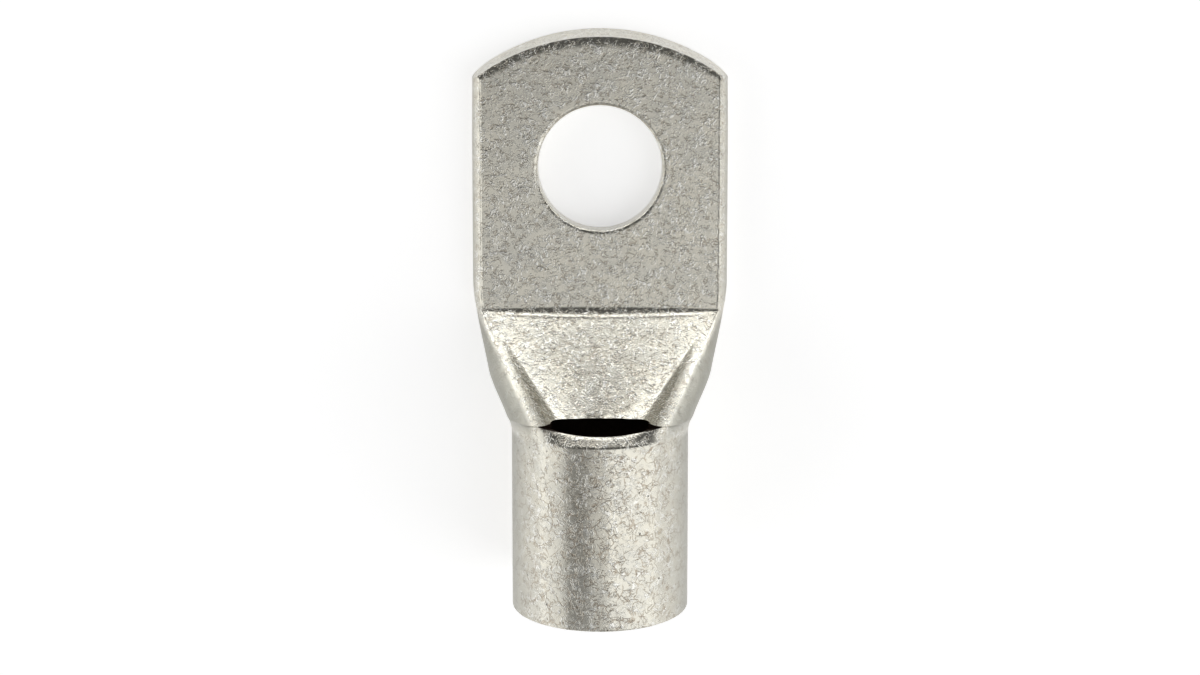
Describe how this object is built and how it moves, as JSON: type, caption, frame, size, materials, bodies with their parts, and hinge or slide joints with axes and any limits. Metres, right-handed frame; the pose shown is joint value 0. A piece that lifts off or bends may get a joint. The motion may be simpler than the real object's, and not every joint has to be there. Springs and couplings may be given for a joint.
{
  "type": "cable lug",
  "caption": "Tubular crimp lug for heavy cable: a round barrel with a sight window, a pressed-in neck and a flat palm with a stud hole.",
  "frame": {"origin": "centre of the stud hole, in the plane of the contact face, which is also the plane that the barrel lies on", "axes": "+Z along the stud, out of the palm's front face; +Y from the stud hole to the palm's tip, so the barrel opens towards -Y; X across the palm"},
  "size_m": [0.0216, 0.0475, 0.0145],
  "materials": {
    "tinned_copper": "dull electro-tinned copper, faintly mottled"
  },
  "bodies": {
    "root": {"lug_body": "tinned_copper"}
  },
  "joints": []
}
